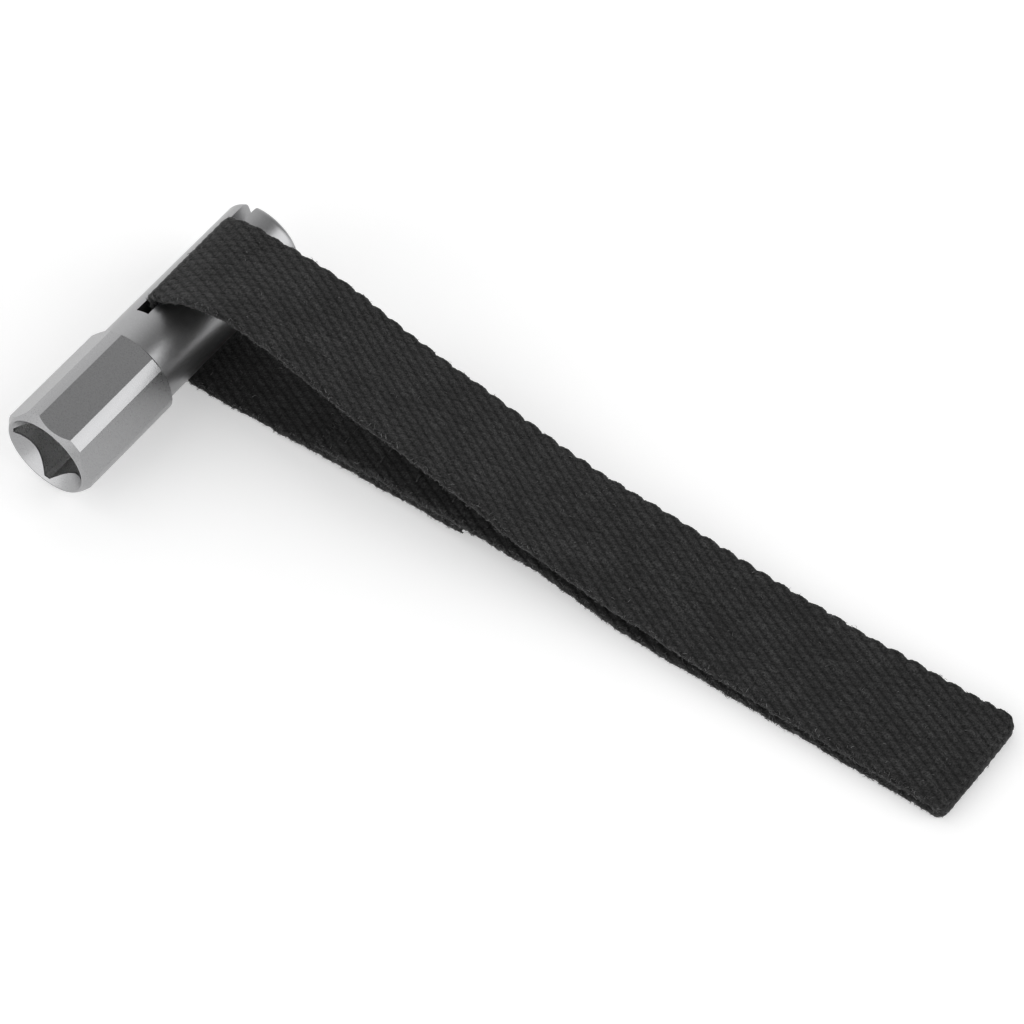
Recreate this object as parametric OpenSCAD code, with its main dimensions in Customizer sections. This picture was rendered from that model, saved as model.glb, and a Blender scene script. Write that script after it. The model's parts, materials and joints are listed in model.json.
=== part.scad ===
// Strap wrench: a square-drive steel spindle with a slotted shaft, and a sewn loop of webbing.
// The spindle lies along +Y, its drive face at y = 0. The loop lies along +X. +Z is up.

/* [Drive head] */
// Width of the hexagon across its flats
hex_af = 19.3; // [18.9:0.1:19.6]
// Diameter that the hexagon's corners are turned to
hex_turned_d = 20.8; // [20.4:0.1:21.2]
// Length of the hexagonal head
head_len = 26.5; // [24:0.5:28]
// Width of the drive square across its flats
drive_sq = 12.9; // [12.8:0.05:13]
// Diameter that the drive square's corners are relieved to
drive_relief_d = 17.0; // [16.6:0.1:17.4]
// Depth of the drive square
drive_depth = 17; // [15:0.5:19]

/* [Slotted shaft] */
// Diameter of the shaft
shaft_d = 18.3; // [17.8:0.1:18.4]
// Distance from the drive face to the shaft's far end
spindle_len = 68.3; // [66:0.1:72]
// Width of the slot that the webbing passes through
slot_w = 3.2; // [3:0.1:3.6]
// Distance from the drive face to the slot's closed end
slot_start = 33.6; // [32:0.1:34.5]
// Radius of the rounded edge at the shaft's far end
nose_r = 1.4; // [0.8:0.1:1.8]

/* [Webbing] */
// Width of the webbing
web_w = 25; // [24:0.5:25.5]
// Thickness of the webbing
web_t = 1.9; // [1.7:0.05:1.95]
// Distance from the drive face to the webbing's near edge
web_y = 36.1; // [35.5:0.1:37]

/* [Lap seam] */
// Rows of stitches across the lap
stitch_rows = 4; // [2:1:5]
// Stitches in a row
stitches = 7; // [4:1:8]
// Diameter of the thread
thread_d = 0.5; // [0.4:0.05:0.6]

/* [Hidden] */

steel = [0.78, 0.78, 0.8];
black_webbing = [0.05, 0.05, 0.055];
black_thread = [0.08, 0.08, 0.085];

// Angles are about the spindle's axis, from +X towards +Z
hex_angle = 74;
square_corner_angle = 80;
slot_angle = 106;

// Front edge: a cone outside that scallops the hexagon, a narrow lip, a 45 degree countersink inside.
// Rear edge: a short steep cone.
lip_outer_r = 9.3;
lip_inner_r = 8.95;
front_cone_len = 1.4;
rear_cone_len = 0.7;
rear_edge_r = 9.4;
// Ring groove that the driver's ball snaps into
groove_r = 8;
groove_y = 6.6;
groove_w = 3.2;
shaft_r = shaft_d / 2;
eps = 0.01;

// The webbing in the slot stops this far inside the shaft's surface
slot_pass_inset = 0.25;
// Each length of webbing stops this far from the line that it bends about
bend_gap = 1.1;

// The two runs lie flat at these heights at the fold, and fold about the line between them
upper_flat_z = -8.2;
lower_flat_z = -10.4;
fold_x = 180;
fold_z = (upper_flat_z + lower_flat_z) / 2;
fold_r = (upper_flat_z - lower_flat_z + web_t) / 2;
fold_clear = 0.4;

// Lines that the loop bends about as it opens. With the spindle's axis and the fold they are the
// corners of a parallelogram, so the loop stays closed at every opening.
bend_upper = [83, -1.9];
bend_lower = [fold_x, fold_z] - bend_upper;

// Middle line of the upper run, [x, z], from the slot's mouth to the bend and on to the fold.
// It starts clear of the shaft, so that it can swing around it.
upper_near_knots = [
  [-2.2, 10.6], [-0.8, 11.5], [1.5, 12.5], [5, 13.5], [10, 14.1], [17, 14.4], [25, 13.5],
  [33, 11.2], [41, 8.6], [50, 6.2], [60, 4.1], [70, 1.5], [77, -0.4], bend_upper
];
upper_far_knots = [
  bend_upper, [90, -3.2], [100, -4.3], [110, -5.4], [122, -6.7], [135, -7.6],
  [150, upper_flat_z + 0.1], [165, upper_flat_z], [fold_x, upper_flat_z]
];
lower_far_knots = [
  bend_lower, [101, -8.3], [107, -9.6], [114, -10.3], [122, lower_flat_z],
  [150, lower_flat_z], [fold_x - fold_r - fold_clear, lower_flat_z]
];

// Lower run by the spindle: it leaves the slot flat under the shaft, then rises to its raw end
exit_z = -(shaft_r + 0.35 + web_t / 2);
exit_x = [1.6, 13.7];
lower_near_knots = [
  [14, exit_z], [25, -9.95], [38, -9.25], [50, -8.75], [60, -8.3], [72, -8.15]
];
// The other end of the webbing is laid on top of it and sewn down
lap_end_knots = [
  [38, -7.3], [50, -6.8], [60, -6.35], [72, -6.2], [82, -6.1], [90, -6.4], bend_lower
];
lap_x = [42, 68];

function last(list) = list[len(list) - 1];
function catmull(a, b, c, d, t) =
  0.5 * (2 * b + (c - a) * t + (2 * a - 5 * b + 4 * c - d) * t * t + (3 * b - a - 3 * c + d) * t * t * t);
function smooth(p, n = 3) = [
  for (i = [0 : len(p) - 2])
    for (j = [0 : n - 1])
      catmull(p[max(i - 1, 0)], p[i], p[i + 1], p[min(i + 2, len(p) - 1)], j / n),
  last(p)
];
function unit(v) = v / norm(v);
function heading(p, i) = unit(p[min(i + 1, len(p) - 1)] - p[max(i - 1, 0)]);
function side(p, i, d) = p[i] + d * [-heading(p, i)[1], heading(p, i)[0]];
// The first or last end of a run, cut back by d
function trim_start(p, d) = concat([p[0] + d * unit(p[1] - p[0])], [for (i = [1 : len(p) - 1]) p[i]]);
function trim_end(p, d) = concat(
  [for (i = [0 : len(p) - 2]) p[i]],
  [last(p) + d * unit(p[len(p) - 2] - last(p))]
);
function run_z(p, x) = lookup(x, p);

// Turns a shape drawn on the XY plane and raised along Z so that it rises along +Y
module along_shaft(y = 0, angle = 0) {
  translate([0, y, 0]) rotate([-90, 0, 0]) rotate([0, 0, -angle]) children();
}

// A length of webbing along a line of [x, z] points
module webbing(points) {
  n = len(points) - 1;
  outline = concat(
    [for (i = [0 : n]) side(points, i, web_t / 2)],
    [for (i = [n : -1 : 0]) side(points, i, -web_t / 2)]
  );
  color(black_webbing)
    translate([0, web_y + web_w, 0]) rotate([90, 0, 0]) linear_extrude(web_w) polygon(outline);
}

module head_blank() {
  intersection() {
    along_shaft(0, hex_angle + 30) linear_extrude(head_len) circle(d = hex_af / cos(30), $fn = 6);
    along_shaft() rotate_extrude($fn = 96) polygon([
      [0, 0],
      [lip_outer_r, 0],
      [hex_turned_d / 2, front_cone_len],
      [hex_turned_d / 2, head_len - rear_cone_len],
      [rear_edge_r, head_len],
      [0, head_len]
    ]);
  }
}

module shaft_blank() {
  nose = [for (a = [0 : 15 : 90]) [shaft_r - nose_r + nose_r * cos(a), spindle_len - nose_r + nose_r * sin(a)]];
  along_shaft() rotate_extrude($fn = 96)
    polygon(concat([[0, head_len - 1], [shaft_r, head_len - 1]], nose, [[0, spindle_len]]));
}

module drive_recess() {
  intersection() {
    along_shaft(-1, square_corner_angle + 45) linear_extrude(drive_depth + 1) square(drive_sq, center = true);
    along_shaft(-1) cylinder(d = drive_relief_d, h = drive_depth + 1, $fn = 96);
  }
  along_shaft(-eps) cylinder(r1 = lip_inner_r + eps, r2 = 0, h = lip_inner_r + eps, $fn = 96);
  along_shaft(groove_y) cylinder(r = groove_r, h = groove_w, $fn = 96);
  along_shaft(drive_depth - eps) cylinder(r1 = drive_sq / 2 - 0.4, r2 = 0, h = 2.6, $fn = 96);
}

module strap_slot() {
  reach = spindle_len - slot_start + 1;
  along_shaft(slot_start, slot_angle) translate([-shaft_d, -slot_w / 2, 0]) cube([2 * shaft_d, slot_w, reach]);
}

module drive_spindle() {
  color(steel) difference() {
    union() {
      head_blank();
      shaft_blank();
    }
    drive_recess();
    strap_slot();
  }
}

module webbing_slot_pass() {
  mouth = (shaft_r - slot_pass_inset) * [cos(slot_angle), sin(slot_angle)];
  webbing([-mouth, mouth]);
}

module webbing_lower_exit() {
  webbing([[exit_x[0], exit_z], [exit_x[1], exit_z]]);
}

module webbing_upper_near() {
  webbing(smooth(trim_end(upper_near_knots, bend_gap)));
}

module webbing_upper_far() {
  webbing(smooth(trim_start(upper_far_knots, bend_gap)));
}

module webbing_fold() {
  color(black_webbing) intersection() {
    along_shaft(web_y) translate([fold_x, -fold_z, 0]) cylinder(r = fold_r, h = web_w, $fn = 48);
    translate([fold_x, web_y, fold_z - fold_r]) cube([fold_r, web_w, 2 * fold_r]);
  }
}

module webbing_lower_far() {
  webbing(smooth(trim_start(lower_far_knots, bend_gap)));
}

module webbing_lower_near() {
  webbing(smooth(lower_near_knots));
}

module webbing_lap_end() {
  webbing(smooth(trim_end(lap_end_knots, bend_gap)));
}

// One row of lock stitches across the lap: lengths of thread on both faces and legs between them
module stitch_row(x) {
  top = run_z(lap_end_knots, x) + web_t / 2;
  bottom = run_z(lower_near_knots, x) - web_t / 2;
  margin = 3;
  pitch = (web_w - 2 * margin) / stitches;
  for (i = [0 : stitches - 1]) {
    y = web_y + margin + i * pitch;
    for (z = [top, bottom])
      translate([x - thread_d / 2, y + 0.25, z - thread_d / 2]) cube([thread_d, pitch - 0.5, thread_d]);
    translate([x, y + pitch / 2, bottom]) cylinder(d = thread_d, h = top - bottom, $fn = 24);
  }
}

module lap_stitching() {
  step = (lap_x[1] - lap_x[0]) / (stitch_rows - 1);
  color(black_thread) for (r = [0 : stitch_rows - 1]) stitch_row(lap_x[0] + r * step);
}

drive_spindle();
webbing_slot_pass();
webbing_lower_exit();
webbing_upper_near();
webbing_upper_far();
webbing_fold();
webbing_lower_far();
webbing_lower_near();
webbing_lap_end();
lap_stitching();
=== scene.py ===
"""Strap wrench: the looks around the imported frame. All lengths are in metres, in the frame's own axes."""

import json
import math

import bpy
import numpy as np
from mathutils import Matrix, Vector


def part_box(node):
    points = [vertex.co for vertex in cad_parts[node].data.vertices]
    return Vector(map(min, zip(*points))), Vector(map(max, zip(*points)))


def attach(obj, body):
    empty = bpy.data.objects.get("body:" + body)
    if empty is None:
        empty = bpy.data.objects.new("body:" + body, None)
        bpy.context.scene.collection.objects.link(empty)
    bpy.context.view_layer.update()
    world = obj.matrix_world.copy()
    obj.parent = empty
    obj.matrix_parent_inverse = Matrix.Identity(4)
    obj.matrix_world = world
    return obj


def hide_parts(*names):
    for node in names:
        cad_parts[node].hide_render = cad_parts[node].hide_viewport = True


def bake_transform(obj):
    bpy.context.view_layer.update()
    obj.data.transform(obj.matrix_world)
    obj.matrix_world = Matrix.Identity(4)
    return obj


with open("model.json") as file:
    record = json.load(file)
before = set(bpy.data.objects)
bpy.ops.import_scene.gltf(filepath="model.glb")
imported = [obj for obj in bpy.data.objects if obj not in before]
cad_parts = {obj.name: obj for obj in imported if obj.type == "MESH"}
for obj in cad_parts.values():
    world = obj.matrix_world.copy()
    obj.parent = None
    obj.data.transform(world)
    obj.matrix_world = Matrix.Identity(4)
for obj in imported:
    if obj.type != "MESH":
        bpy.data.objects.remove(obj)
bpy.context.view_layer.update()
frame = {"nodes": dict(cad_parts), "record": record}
MM = 0.001

# ---- the frame's own places ----
SPINDLE = "drive_spindle"
WEB_LOW, WEB_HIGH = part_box("webbing_upper_far")
WEB_Y0, WEB_W = WEB_LOW.y, WEB_HIGH.y - WEB_LOW.y
EXIT_LOW, EXIT_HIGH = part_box("webbing_lower_exit")
FLOOR_Z, WEB_T = EXIT_LOW.z, EXIT_HIGH.z - EXIT_LOW.z
STITCH_LOW, STITCH_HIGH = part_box("lap_stitching")
FOLD_JOINT = {j["name"]: j for j in frame["record"]["behaviour"]["joints"]}["fold_bend"]
FOLD = np.array(FOLD_JOINT["pos_m"])[[0, 2]]

# ---- the webbing's route, [x, z] in millimetres: one line through its CAD lengths and their gaps ----
SLOT_ANGLE = math.radians(106)
SLOT = np.array([math.cos(SLOT_ANGLE), math.sin(SLOT_ANGLE)])
HALF_LAYERS = 1.1
OUTER_END = [[72, -8.15], [60, -8.3], [50, -8.75], [38, -9.25], [25, -9.95]]
EXIT = [[14, -10.45], [9, -10.45], [5.6, -10.4], [3.8, -9.9], [2.75, -9.0]]
IN_SLOT = [(r * SLOT).tolist() for r in (-8.4, -4, 0, 4, 8.2)]
BULGE = [[-2.65, 9.23], [-2.74, 9.75], [-2.2, 10.6], [-0.8, 11.5], [1.5, 12.5], [5, 13.5], [10, 14.1],
         [17, 14.4], [25, 13.5]]
UPPER_NEAR = [[33, 11.2], [41, 8.6], [50, 6.2], [60, 4.1], [70, 1.5], [77, -0.4], [83, -1.9]]
UPPER_FAR = [[90, -3.2], [100, -4.3], [110, -5.4], [122, -6.7], [135, -7.6], [150, -8.1], [165, -8.2]]
LOWER_FAR = [[165, -10.4], [150, -10.4], [135, -10.4], [122, -10.4], [114, -10.3], [107, -9.6], [101, -8.3]]
INNER_END = [[97, -7.4], [90, -6.4], [82, -6.1], [72, -6.2], [60, -6.35], [50, -6.8], [38, -7.3]]

# ---- the weave: knuckles of thick yarn on a centred lattice that runs all the way round the section ----
KNUCKLE_L = 4.22 * MM
KNUCKLES_ROUND = 27
RELIEF = 0.34 * MM
STEP = 0.3 * MM
REAR_SCALLOP = 0.5 * MM
FRONT_SCALLOP = 0.2 * MM
FRONT_LIFT = 2.4 * MM


def catmull(points, per_gap=24):
    """A smooth line through the points."""
    p = np.array(points, float)
    t = np.linspace(0, 1, per_gap, endpoint=False)[:, None]
    line = []
    for i in range(len(p) - 1):
        a, b, c, d = p[max(i - 1, 0)], p[i], p[i + 1], p[min(i + 2, len(p) - 1)]
        line.append(0.5 * (2 * b + (c - a) * t + (2 * a - 5 * b + 4 * c - d) * t**2
                           + (3 * b - a - 3 * c + d) * t**3))
    return np.vstack(line + [p[-1:]])


def resample(line, step):
    """The same line with evenly spaced points."""
    s = np.concatenate([[0], np.cumsum(np.linalg.norm(np.diff(line, axis=0), axis=1))])
    at = np.linspace(0, s[-1], max(2, int(round(s[-1] / step)) + 1))
    return np.stack([np.interp(at, s, line[:, k]) for k in range(line.shape[1])], 1)


def fold_arc():
    """The webbing's turn at the far end, in millimetres."""
    turn = np.radians(np.linspace(90, -90, 9))
    return [list(FOLD / MM + HALF_LAYERS * np.array([math.cos(a), math.sin(a)])) for a in turn]


# The middle line, from the outer raw end, through the slot and round the fold, to the inner raw end
ROUTE = resample(catmull(OUTER_END + EXIT + IN_SLOT + BULGE + UPPER_NEAR + UPPER_FAR
                         + fold_arc() + LOWER_FAR + INNER_END), STEP / MM) * MM
ROUTE_S = np.concatenate([[0], np.cumsum(np.linalg.norm(np.diff(ROUTE, axis=0), axis=1))])


def at_point(x, z):
    """Number of the route point nearest [x, z] in millimetres."""
    return int(np.argmin(np.hypot(ROUTE[:, 0] - x * MM, ROUTE[:, 1] - z * MM)))


def hash01(k, seed):
    """A repeatable random number from 0 to 1 for each whole number."""
    x = np.sin(k * 127.1 + seed * 311.7) * 43758.5453
    return x - np.floor(x)


def smoothstep(t):
    t = np.clip(t, 0, 1)
    return t * t * (3 - 2 * t)


# ---- the webbing's surface ----
def cross_section():
    """Round the section: place across, height through the thickness, and the way out, [across, up]."""
    r = WEB_T / 2
    flat = np.linspace(r, WEB_W - r, int((WEB_W - 2 * r) / STEP))
    turn = np.radians(np.arange(75, -76, -15.0))
    up, far = np.tile([0.0, 1.0], (len(flat), 1)), np.stack([np.cos(turn), np.sin(turn)], 1)
    out = np.vstack([up, far, -up, -far])
    top = np.stack([flat, np.full(len(flat), r)], 1)
    bottom = np.stack([flat[::-1], np.full(len(flat), -r)], 1)
    place = np.vstack([top, [WEB_W - r, 0] + r * far, bottom, [r, 0] - r * far])
    return place, out


SECTION, SECTION_OUT = cross_section()
ROUND = np.linalg.norm(np.roll(SECTION, -1, 0) - SECTION, axis=1)
SECTION_W = np.concatenate([[0], np.cumsum(ROUND)[:-1]])
KNUCKLE_W = ROUND.sum() / KNUCKLES_ROUND


def weave(u, w):
    """Height of the weave, 0 to 1, and a shade for each knuckle, at u along and w round the section."""
    chain, place = u / KNUCKLE_L + w / KNUCKLE_W, u / KNUCKLE_L - w / KNUCKLE_W
    m, n = np.round(chain), np.round(place)
    key = (m + n) * 61 + np.mod(m - n, 2 * KNUCKLES_ROUND)
    beside, behind = chain - m, place - n
    crown = np.clip(1 - np.abs(2 * beside) ** 2.4, 0, 1) ** 0.6
    bulge = np.clip(1 - np.abs(2 * behind) ** 2.6, 0, 1) ** 0.5
    yarns = 0.9 + 0.1 * np.cos(8 * np.pi * u / KNUCKLE_L)
    height = crown * (0.45 + 0.55 * bulge) * yarns * (0.82 + 0.18 * hash01(key, 4))
    grain = hash01(np.round(u / STEP) * 61 + np.round(w / STEP), 7) - 0.5
    return np.clip(height + 0.3 * grain, 0, 1.1), hash01(key, 5)


def scallop(u, pitch):
    """Bulges of the selvedge with sharp valleys between them, -0.5 to 0.5."""
    n = np.floor(u / pitch)
    t = u / pitch - n
    return np.sqrt(np.clip(1 - (2 * t - 1) ** 2, 0, 1)) * (0.75 + 0.5 * hash01(n, 9)) - 0.5


def front_lift(x):
    """How much higher the upper run's front edge stands than its middle."""
    t = x / MM
    return FRONT_LIFT * smoothstep((t + 2) / 18) * (0.12 + 0.88 * (1 - smoothstep((t - 68) / 45))) * (
        1 - np.clip((t - 150) / 28, 0, 1))


def surface():
    """Every point of the webbing, [route point, section point, xyz], with its weave's height and shade."""
    ahead = np.vstack([ROUTE[1:], ROUTE[-1:]]) - np.vstack([ROUTE[:1], ROUTE[:-1]])
    ahead /= np.linalg.norm(ahead, axis=1)[:, None]
    normal = np.stack([-ahead[:, 1], ahead[:, 0]], 1)
    u, w = ROUTE_S[:, None], SECTION_W[None, :]
    height, shade = weave(u, w)
    sink = RELIEF * (1 - height)
    across = SECTION[:, 0][None, :] - SECTION_OUT[:, 0][None, :] * sink
    up = SECTION[:, 1][None, :] - SECTION_OUT[:, 1][None, :] * sink
    edge_in = np.minimum(SECTION[:, 0], WEB_W - SECTION[:, 0])[None, :]
    near_edge = smoothstep(1 - edge_in / (2.6 * MM))
    rear = REAR_SCALLOP * scallop(u + 0.1 * KNUCKLE_L * np.sin(u * 140), KNUCKLE_L)
    front = FRONT_SCALLOP * scallop(u, KNUCKLE_L / 2) + 0.12 * MM * np.sin(u * 410) * np.sin(u * 97)
    across = across + near_edge * np.where(SECTION[:, 0][None, :] > WEB_W / 2, rear, -front)
    share = across / WEB_W
    first, last = at_point(*BULGE[0]), at_point(*(FOLD / MM + [HALF_LAYERS, 0]))
    number = np.arange(len(ROUTE))
    lift = front_lift(ROUTE[:, 0]) * ((number >= first) & (number <= last))
    x = ROUTE[:, 0][:, None] + normal[:, 0][:, None] * up
    z = ROUTE[:, 1][:, None] + normal[:, 1][:, None] * up + lift[:, None] * (1 - 2 * share)
    dip = 0.7 * MM * np.exp(-((ROUTE[:, 0] / MM - 0.5) / 3.5) ** 2) * ((number >= first) & (number <= last))
    z = z - dip[:, None] * np.clip(1 - share, 0, 1) ** 1.5
    x = x - fold_corners(x, share * WEB_W)
    return np.stack([x, WEB_Y0 + across, z], 2), height, shade


def fold_corners(x, across):
    """How far the folded end falls short towards its corners."""
    rear = np.clip(1 - (WEB_W - across) / (3.2 * MM), 0, 1)
    front = np.clip(1 - across / (1.6 * MM), 0, 1)
    short = 3.2 * MM * (1 - np.sqrt(1 - rear**2)) * 0.7 + 1.2 * MM * (1 - np.sqrt(1 - front**2))
    short = short + 1.0 * MM * np.clip(1 - across / WEB_W, 0, 1) ** 1.5
    return short * smoothstep((x - FOLD[0] + 9 * MM) / (10 * MM))


GRID, HEIGHT, SHADE = surface()
ALONG = np.gradient(GRID, axis=0)
AROUND = np.roll(GRID, -1, 1) - np.roll(GRID, 1, 1)
NORMALS = np.cross(ALONG, AROUND)
NORMALS /= np.linalg.norm(NORMALS, axis=2)[:, :, None]


# ---- loose fibres and cut yarns ----
def tube(path, radius, sides):
    """Points and faces of closed tubes, one for each path of points, tapering to their ends."""
    count, steps = path.shape[:2]
    ahead = np.gradient(path, axis=1)
    ahead /= np.linalg.norm(ahead, axis=2)[:, :, None] + 1e-12
    flat = np.cross(ahead, [0.31, 0.52, 0.79])
    flat /= np.linalg.norm(flat, axis=2)[:, :, None] + 1e-12
    over = np.cross(ahead, flat)
    turn = 2 * np.pi * np.arange(sides) / sides
    thin = radius[:, None] * np.linspace(1, 0.55, steps)[None, :]
    ring = (flat[:, :, None] * np.cos(turn)[:, None] + over[:, :, None] * np.sin(turn)[:, None])
    points = (path[:, :, None] + ring * thin[:, :, None, None]).reshape(-1, 3)
    faces = []
    for n in range(count):
        base = n * steps * sides
        for s in range(steps - 1):
            for k in range(sides):
                a, b = base + s * sides + k, base + s * sides + (k + 1) % sides
                faces.append([a, b, b + sides, a + sides])
        faces.append([base + k for k in range(sides)][::-1])
        faces.append([base + (steps - 1) * sides + k for k in range(sides)])
    return points, faces


def fibre_paths(i, k, rng, reach, lift, forward=0.0):
    """Short curved paths that start on the surface at route points i and section points k."""
    start, out = GRID[i, k], NORMALS[i, k]
    along = ALONG[i, k] / np.linalg.norm(ALONG[i, k], axis=1)[:, None]
    side = np.cross(out, along)
    turn = rng.uniform(0, 2 * np.pi, len(i))
    way = along * (np.cos(turn) + forward)[:, None] + side * np.sin(turn)[:, None]
    way /= np.linalg.norm(way, axis=1)[:, None]
    curl = np.cross(out, way) * rng.uniform(-0.9, 0.9, len(i))[:, None]
    length = rng.uniform(*reach, len(i))[:, None, None]
    t = np.linspace(0, 1, 5)[None, :, None]
    rise = rng.uniform(*lift, len(i))[:, None, None]
    return (start[:, None] + length * (way[:, None] * t + curl[:, None] * t**2 * 0.5
                                       + out[:, None] * rise * np.sin(np.pi * t * 0.8)))


def fibres(i0, i1, rng):
    """Paths of the fuzz on a length of webbing: most on its selvedges, a little on its faces. The dense grey
    fuzz on the front selvedge is partly real lint and partly painted light, a lighter band where light falls on
    that edge.
    """
    ids, ks = [], []
    front_edge_fuzz_and_light = np.where(SECTION[:, 0] < 0.9 * MM)[0]
    edge_rear = np.where(SECTION[:, 0] > WEB_W - 0.9 * MM)[0]
    faces = np.where((SECTION[:, 0] > 1 * MM) & (SECTION[:, 0] < WEB_W - 1 * MM))[0]
    length = ROUTE_S[i1] - ROUTE_S[i0]
    # the front selvedge gets far more grey fuzz than the rear: partly lint, partly painted light on the front
    # edge
    for group, per_mm in ((front_edge_fuzz_and_light, 9.0), (edge_rear, 0.6), (faces, 3.0)):
        n = int(per_mm * length / MM)
        ids.append(rng.integers(i0 + 3, i1 - 3, n))
        ks.append(rng.choice(group, n))
    return fibre_paths(np.concatenate(ids), np.concatenate(ks), rng, (0.25 * MM, 0.8 * MM), (0.15, 0.5))


def frayed_end(end, way, rng):
    """Paths of the cut yarns that stand out of a raw end, and of the fibres between them."""
    ring = GRID[end]
    centre = ring.mean(0)
    out = ALONG[end].mean(0) * way
    out /= np.linalg.norm(out)
    yarns = np.arange(2, len(SECTION), 5)
    keep_height, keep_across = np.array([1, 0, 1]), np.array([0, 1, 0])
    start = ring[yarns] * 0.86 + centre * 0.14 * keep_height + ring[yarns] * 0.14 * keep_across
    t = np.linspace(0, 1, 4)[None, :, None]
    drift = rng.normal(0, 0.35, (len(yarns), 3))
    length = rng.uniform(0.3 * MM, 1.3 * MM, len(yarns))[:, None, None]
    thick = start[:, None] - out * 0.6 * MM + length * (out * t + drift[:, None] * t**2) + out * 0.6 * MM * t
    n = 90
    pick = rng.integers(0, len(SECTION), n)
    t = np.linspace(0, 1, 5)[None, :, None]
    drift = rng.normal(0, 0.5, (n, 3))
    length = rng.uniform(0.4 * MM, 1.6 * MM, n)[:, None, None]
    thin = ring[pick][:, None] - out * 0.3 * MM + length * (out * t + drift[:, None] * t**2)
    return thick, thin


# ---- the lengths of webbing ----
def webbing(name, i0, i1, seed, frayed=()):
    """A closed length of webbing between two route points, with its weave, fuzz and cut yarns in the mesh."""
    rng = np.random.default_rng(seed)
    rings, m = i1 - i0 + 1, len(SECTION)
    points = GRID[i0:i1 + 1].reshape(-1, 3)
    a = (np.arange(rings - 1)[:, None] * m + np.arange(m)[None, :]).ravel()
    b = (np.arange(rings - 1)[:, None] * m + np.roll(np.arange(m), -1)[None, :]).ravel()
    faces = np.stack([a, a + m, b + m, b], 1).tolist()
    caps = [list(range(m)), [(rings - 1) * m + k for k in range(m)][::-1]]
    relief, shade = HEIGHT[i0:i1 + 1].ravel(), SHADE[i0:i1 + 1].ravel()
    normals = NORMALS[i0:i1 + 1].reshape(-1, 3)
    parts = [(points, faces + caps, relief, shade, np.zeros(len(points)))]
    hairs = fibres(i0, i1, rng)
    thickness = rng.uniform(0.03 * MM, 0.075 * MM, len(hairs))
    strands = [(hairs, thickness, 3, rng.uniform(0.0, 1.0, len(hairs)) ** 2)]
    for end, way in frayed:
        thick, thin = frayed_end(end, way, rng)
        strands.append((thick, rng.uniform(0.22 * MM, 0.34 * MM, len(thick)), 8, np.zeros(len(thick))))
        thickness = rng.uniform(0.03 * MM, 0.06 * MM, len(thin))
        strands.append((thin, thickness, 3, rng.uniform(0, 0.5, len(thin))))
    for path, radius, sides, lint in strands:
        tube_points, tube_faces = tube(path, radius, sides)
        per = path.shape[1] * sides
        count = len(tube_points)
        parts.append((tube_points, tube_faces, np.full(count, 0.75), np.full(count, 0.5), np.repeat(lint, per)))
    return build(name, parts, normals, len(faces), len(caps))


def build(name, parts, normals, side_faces, cap_faces):
    """One object from several closed parts. The first part's sides are shaded with the given normals."""
    points, faces, values, base = [], [], {"relief": [], "shade": [], "lint": []}, 0
    for part_points, part_faces, *extra in parts:
        points.append(part_points)
        faces += [[v + base for v in f] for f in part_faces]
        base += len(part_points)
        for label, value in zip(values, extra):
            values[label].append(value)
    points = np.vstack(points)
    points[:, 2] = np.maximum(points[:, 2], FLOOR_Z)
    mesh = bpy.data.meshes.new(name)
    mesh.from_pydata(points.tolist(), [], faces)
    smooth = np.ones(len(faces), bool)
    smooth[side_faces:side_faces + cap_faces] = False
    mesh.polygons.foreach_set("use_smooth", smooth)
    for label, value in values.items():
        data = np.concatenate(value).astype(np.float32)
        mesh.attributes.new(label, "FLOAT", "POINT").data.foreach_set("value", data)
    mesh.update()
    custom = np.zeros((len(mesh.loops), 3), np.float32)
    corner = np.zeros(len(mesh.loops), np.int32)
    mesh.loops.foreach_get("vertex_index", corner)
    shaded = np.arange(len(mesh.loops)) < 4 * side_faces
    custom[shaded] = normals[corner[shaded]]
    mesh.normals_split_custom_set(custom)
    obj = bpy.data.objects.new(name, mesh)
    bpy.context.scene.collection.objects.link(obj)
    return obj


# ---- materials ----
def material(name):
    m = bpy.data.materials.new(name)
    m.use_nodes = True
    nodes, links = m.node_tree.nodes, m.node_tree.links
    return m, nodes, links, nodes["Principled BSDF"]


def add_node(nodes, kind, **values):
    n = nodes.new(kind)
    for key, value in values.items():
        if key in n.inputs:
            n.inputs[key].default_value = value
        else:
            setattr(n, key, value)
    return n


def ramp(nodes, low, high, at=(0.0, 1.0)):
    n = nodes.new("ShaderNodeValToRGB")
    stops = n.color_ramp.elements
    stops[0].position, stops[1].position = at
    for stop, grey in zip(stops, (low, high)):
        stop.color = [*grey, 1] if len(grey) == 3 else [grey[0]] * 3 + [1]
    return n


def mix(nodes, links, kind, a, b, factor=1.0):
    """A colour mix node of two outputs, with a fixed or linked factor."""
    n = add_node(nodes, "ShaderNodeMix", data_type="RGBA", blend_type=kind)
    if isinstance(factor, float):
        n.inputs["Factor"].default_value = factor
    else:
        links.new(factor, n.inputs["Factor"])
    for output, socket in ((a, n.inputs[6]), (b, n.inputs[7])):
        links.new(output, socket)
    return n.outputs[2]


def map_range(nodes, links, source, start, stop, low, high):
    """A number that goes from low to high as the source goes from start to stop."""
    n = nodes.new("ShaderNodeMapRange")
    for key, value in {"From Min": start, "From Max": stop, "To Min": low, "To Max": high}.items():
        n.inputs[key].default_value = value
    links.new(source, n.inputs["Value"])
    return n.outputs["Result"]


def maths(nodes, links, operation, *sources):
    n = add_node(nodes, "ShaderNodeMath", operation=operation)
    for source, socket in zip(sources, n.inputs):
        links.new(source, socket)
    return n.outputs["Value"]


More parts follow.
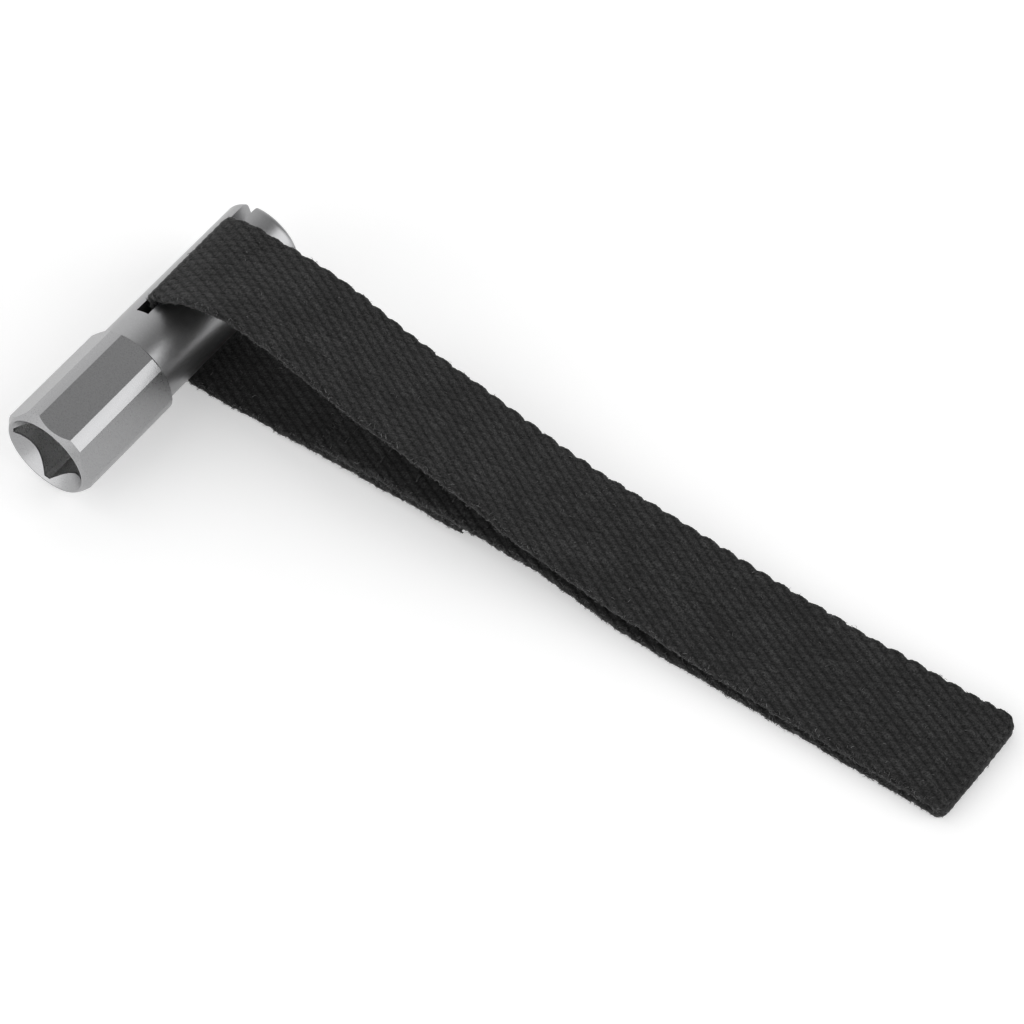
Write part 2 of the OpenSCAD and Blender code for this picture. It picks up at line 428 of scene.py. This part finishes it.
def stretched_noise(nodes, links, scale, detail):
    place, stretch = nodes.new("ShaderNodeTexCoord"), nodes.new("ShaderNodeMapping")
    stretch.inputs["Scale"].default_value = scale
    links.new(place.outputs["Object"], stretch.inputs["Vector"])
    noise = add_node(nodes, "ShaderNodeTexNoise", Scale=1.0, Detail=detail, Roughness=0.65)
    links.new(stretch.outputs["Vector"], noise.inputs["Vector"])
    return noise.outputs["Fac"]


def webbing_material():
    """Black spun yarn: painted shade darkens the gaps between the knuckles, fibrous on the crowns, with grey
    lint.
    """
    m, nodes, links, shader = material("black_webbing")
    relief = add_node(nodes, "ShaderNodeAttribute", attribute_name="relief")
    shade = add_node(nodes, "ShaderNodeAttribute", attribute_name="shade")
    lint = add_node(nodes, "ShaderNodeAttribute", attribute_name="lint")
    strands = stretched_noise(nodes, links, (2900, 4200, 4200), 3.0)
    patches = stretched_noise(nodes, links, (130, 160, 160), 2.0)
    # painted shade: the base colour falls from the knuckles' crowns down into the gaps between them, standing
    # in for shade in the hollows
    gap_shade = ramp(nodes, (0.001,), (0.022,), (0.12, 0.85))
    links.new(relief.outputs["Fac"], gap_shade.inputs["Fac"])
    fibre = ramp(nodes, (0.1,), (2.7,), (0.36, 0.68))
    links.new(strands, fibre.inputs["Fac"])
    patch = ramp(nodes, (0.8,), (1.2,), (0.3, 0.7))
    links.new(patches, patch.inputs["Fac"])
    knuckle = ramp(nodes, (0.82,), (1.18,))
    links.new(shade.outputs["Fac"], knuckle.inputs["Fac"])
    colour = mix(nodes, links, "MULTIPLY", gap_shade.outputs["Color"], fibre.outputs["Color"])
    colour = mix(nodes, links, "MULTIPLY", colour, patch.outputs["Color"])
    colour = mix(nodes, links, "MULTIPLY", colour, knuckle.outputs["Color"])
    grey = ramp(nodes, (0.02,), (0.2,))
    links.new(lint.outputs["Fac"], grey.inputs["Fac"])
    any_lint = ramp(nodes, (0.0,), (1.0,), (0.0, 0.02))
    links.new(lint.outputs["Fac"], any_lint.inputs["Fac"])
    colour = mix(nodes, links, "MIX", colour, grey.outputs["Color"], any_lint.outputs["Color"])
    links.new(colour, shader.inputs["Base Color"])
    shader.inputs["Roughness"].default_value = 0.8
    shader.inputs["Sheen Weight"].default_value = 0.08
    shader.inputs["Sheen Roughness"].default_value = 0.5
    shader.inputs["Specular IOR Level"].default_value = 0.22
    bump = add_node(nodes, "ShaderNodeBump", Strength=1.0, Distance=0.00022)
    links.new(strands, bump.inputs["Height"])
    links.new(bump.outputs["Normal"], shader.inputs["Normal"])
    return m


# Where painted light brightens the metal's colour: inside the drive socket, behind its countersink
SOCKET_R = (8.7 * MM, 8.4 * MM)
COUNTERSINK_END = (9.1 * MM, 9.4 * MM)
SOCKET_END_Y = (21 * MM, 20.5 * MM)
HEAD_END_Y = (26.2 * MM, 26.6 * MM)
HEAD_ROUGHNESS, SHAFT_ROUGHNESS = 0.3, 0.33


def steel_material():
    """Satin chrome plate: a little rougher on the turned shaft, with painted light brightening its colour
    inside the drive socket.
    """
    m, nodes, links, shader = material("plated_steel")
    place, parts = nodes.new("ShaderNodeTexCoord"), nodes.new("ShaderNodeSeparateXYZ")
    links.new(place.outputs["Object"], parts.inputs["Vector"])
    x, y, z = (parts.outputs[axis] for axis in "XYZ")
    grain = stretched_noise(nodes, links, (3300, 3300, 3300), 2.0)
    shader.inputs["Metallic"].default_value = 1.0
    plate = ramp(nodes, (0.325, 0.325, 0.33), (0.37, 0.37, 0.375), (0.3, 0.7))
    # painted light: a brighter copy of the plate colour, standing in for light reaching inside the drive socket
    painted_socket_light = ramp(nodes, (0.6,), (0.7,), (0.3, 0.7))
    speckle = ramp(nodes, (0.88,), (1.12,), (0.35, 0.65))
    for shades in (plate, painted_socket_light, speckle):
        links.new(grain, shades.inputs["Fac"])
    squares = (maths(nodes, links, "MULTIPLY", x, x), maths(nodes, links, "MULTIPLY", z, z))
    squared = maths(nodes, links, "ADD", *squares)
    depth = maths(nodes, links, "ADD", maths(nodes, links, "SQRT", squared), y)
    inside = map_range(nodes, links, squared, SOCKET_R[0]**2, SOCKET_R[1]**2, 0.0, 1.0)
    behind = map_range(nodes, links, depth, *COUNTERSINK_END, 0.0, 1.0)
    ahead = map_range(nodes, links, y, *SOCKET_END_Y, 0.0, 1.0)
    # mask of the painted light: inside the socket's radius, behind its countersink and ahead of its end
    socket = maths(nodes, links, "MULTIPLY", inside, maths(nodes, links, "MULTIPLY", behind, ahead))
    tone = mix(nodes, links, "MIX", plate.outputs["Color"], painted_socket_light.outputs["Color"], socket)
    links.new(tone, shader.inputs["Base Color"])
    zone = map_range(nodes, links, y, *HEAD_END_Y, HEAD_ROUGHNESS, SHAFT_ROUGHNESS)
    links.new(maths(nodes, links, "MULTIPLY", zone, speckle.outputs["Color"]), shader.inputs["Roughness"])
    bump = add_node(nodes, "ShaderNodeBump", Strength=0.16, Distance=0.00005)
    links.new(grain, bump.inputs["Height"])
    links.new(bump.outputs["Normal"], shader.inputs["Normal"])
    return m


def thread_material():
    m, nodes, links, shader = material("black_thread")
    ply = stretched_noise(nodes, links, (5200, 1500, 5200), 2.0)
    colour = ramp(nodes, (0.008,), (0.03,), (0.3, 0.7))
    links.new(ply, colour.inputs["Fac"])
    links.new(colour.outputs["Color"], shader.inputs["Base Color"])
    shader.inputs["Roughness"].default_value = 0.65
    bump = add_node(nodes, "ShaderNodeBump", Strength=0.8, Distance=0.0001)
    links.new(ply, bump.inputs["Height"])
    links.new(bump.outputs["Normal"], shader.inputs["Normal"])
    return m


def floor_material():
    """A white table, lit a little from below."""
    m, nodes, links, shader = material("studio_floor")
    grain = stretched_noise(nodes, links, (40, 40, 40), 2.0)
    colour = ramp(nodes, (0.82,), (0.84,))
    links.new(grain, colour.inputs["Fac"])
    links.new(colour.outputs["Color"], shader.inputs["Base Color"])
    shader.inputs["Roughness"].default_value = 0.8
    shader.inputs["Specular IOR Level"].default_value = 0.1
    shader.inputs["Emission Color"].default_value = (1, 1, 1, 1)
    shader.inputs["Emission Strength"].default_value = 0.32
    return m


# ---- camera, floor and light ----
CAMERA = {
    "azimuth": 36.77, "elevation": 53.68, "roll": -1.21,
    "distance": 0.62984, "across": 0.0899, "down": 0.01076,
}
LENS_MM = 114.87
SENSOR_MM = 36.0


def view_axes():
    a, e, r = (math.radians(CAMERA[k]) for k in ("azimuth", "elevation", "roll"))
    back = Vector((math.sin(a) * math.cos(e), -math.cos(a) * math.cos(e), math.sin(e)))
    level = Vector((math.cos(a), math.sin(a), 0))
    over = back.cross(level)
    right = math.cos(r) * level + math.sin(r) * over
    up = -math.sin(r) * level + math.cos(r) * over
    return right, up, back


def add_camera():
    right, up, back = view_axes()
    data = bpy.data.cameras.new("camera")
    data.lens, data.sensor_width = LENS_MM, SENSOR_MM
    data.clip_start, data.clip_end = 0.01, 20
    cam = bpy.data.objects.new("camera", data)
    bpy.context.scene.collection.objects.link(cam)
    at = right * CAMERA["across"] - up * CAMERA["down"] + back * CAMERA["distance"]
    cam.matrix_world = Matrix.Translation(at) @ Matrix((right, up, back)).transposed().to_4x4()
    bpy.context.scene.camera = cam


def add_floor():
    reach, z = 6.0, FLOOR_Z - 0.00005
    mesh = bpy.data.meshes.new("studio_floor")
    corners = [(-reach, -reach, z), (reach, -reach, z), (reach, reach, z), (-reach, reach, z)]
    mesh.from_pydata(corners, [], [(0, 1, 2, 3)])
    floor = bpy.data.objects.new("studio_floor", mesh)
    bpy.context.scene.collection.objects.link(floor)
    floor.data.materials.append(floor_material())


def sun(name, towards, strength, spread):
    """A soft far light from the direction given."""
    data = bpy.data.lights.new(name, "SUN")
    data.energy, data.angle = strength, math.radians(spread)
    light = bpy.data.objects.new(name, data)
    light.rotation_mode = "QUATERNION"
    light.rotation_quaternion = Vector(towards).to_track_quat("Z", "Y")
    bpy.context.scene.collection.objects.link(light)


def add_light():
    """A studio with a pale wall on the left, a light front wall and a soft box at the right."""
    world = bpy.data.worlds.new("studio")
    bpy.context.scene.world = world
    world.use_nodes = True
    nodes, links = world.node_tree.nodes, world.node_tree.links
    place, parts = nodes.new("ShaderNodeTexCoord"), nodes.new("ShaderNodeSeparateXYZ")
    links.new(place.outputs["Generated"], parts.inputs["Vector"])
    wall = map_range(nodes, links, parts.outputs["X"], -0.72, 0.16, 1.1, 0.34)
    front = map_range(nodes, links, parts.outputs["Y"], -0.6, -0.95, 0.0, 1.8)
    links.new(maths(nodes, links, "ADD", wall, front), nodes["Background"].inputs["Strength"])
    nodes["Background"].inputs["Color"].default_value = (1, 1, 1, 1)
    sun("soft_box", (0.86, 0.25, 0.36), 1.55, 62)


# ---- the pieces ----
def add_webbing():
    """The webbing, cut where one body hands over to the next."""
    end = len(ROUTE) - 1
    over = HALF_LAYERS
    fold_x, fold_z = FOLD / MM
    marks = [0, at_point(25, -9.95), at_point(0, 0), at_point(17, 14.4), at_point(60, 4.1),
             at_point(122, -6.7), at_point(fold_x, fold_z + over), at_point(fold_x, fold_z - over), at_point(122, -10.4), end]
    names = ["strap_lap_outer", "strap_exit_lower", "strap_exit_upper", "strap_upper_near",
             "strap_upper_bend", "strap_upper_far", "strap_fold", "strap_lower_far", "strap_lap_inner"]
    frayed = {"strap_lap_outer": [(0, -1)], "strap_lap_inner": [(end, 1)]}
    black, made = webbing_material(), {}
    for n, name in enumerate(names):
        made[name] = webbing(name, marks[n], marks[n + 1], n + 1, frayed.get(name, ()))
        made[name].data.materials.append(black)
    return made


def add_stitches():
    """Rows of short rounded stitches on both faces of the lap."""
    rows, per_row, steps, sides = 4, 7, 7, 8
    radius = 0.21 * MM
    pitch = (STITCH_HIGH.y - STITCH_LOW.y + 0.5 * MM) / per_row
    first, last = STITCH_LOW.x + radius, STITCH_HIGH.x - radius
    inner = ROUTE[at_point(97, -7.4):]
    outer = ROUTE[:at_point(25, -9.95)]
    paths = []
    for x in np.linspace(first, last, rows):
        top = np.interp(x, inner[::-1, 0], inner[::-1, 1]) + WEB_T / 2 - 0.06 * MM
        low = np.interp(x, outer[::-1, 0], outer[::-1, 1]) - WEB_T / 2 + 0.06 * MM
        for n in range(per_row):
            y = STITCH_LOW.y + n * pitch + np.linspace(0.1, 0.9, steps) * pitch
            dip = 0.3 * MM * (np.abs(np.linspace(-1, 1, steps)) ** 3)
            paths.append(np.stack([np.full(steps, x), y, top - dip], 1))
            paths.append(np.stack([np.full(steps, x), y, low + dip], 1))
    paths = np.array(paths)
    points, faces = tube(paths, np.full(len(paths), radius), sides)
    mesh = bpy.data.meshes.new("lap_stitches")
    mesh.from_pydata(points.tolist(), [], faces)
    mesh.polygons.foreach_set("use_smooth", [len(f) == 4 for f in faces])
    obj = bpy.data.objects.new("lap_stitches", mesh)
    bpy.context.scene.collection.objects.link(obj)
    mesh.materials.append(thread_material())
    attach(obj, "lower_near")
    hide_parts("lap_stitching")


def hand_over(made):
    """Which body each length of webbing follows."""

    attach(made["strap_lap_outer"], "lower_near")
    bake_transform(made["strap_exit_lower"])
    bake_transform(made["strap_exit_upper"])
    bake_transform(made["strap_upper_near"])
    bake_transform(made["strap_upper_bend"])
    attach(made["strap_upper_far"], "upper_far")
    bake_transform(made["strap_fold"])
    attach(made["strap_lower_far"], "lower_far")
    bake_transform(made["strap_lap_inner"])
    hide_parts("webbing_lower_near")
    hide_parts("webbing_lower_exit", "webbing_slot_pass")
    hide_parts("webbing_upper_near")
    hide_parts("webbing_upper_far")
    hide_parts("webbing_fold")
    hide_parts("webbing_lower_far")
    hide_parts("webbing_lap_end")


bpy.context.scene.view_settings.view_transform = "Standard"
add_camera()
add_floor()
add_light()
steel = steel_material()
for material_slot in frame["nodes"][SPINDLE].material_slots:
    material_slot.material = steel
hand_over(add_webbing())
add_stitches()
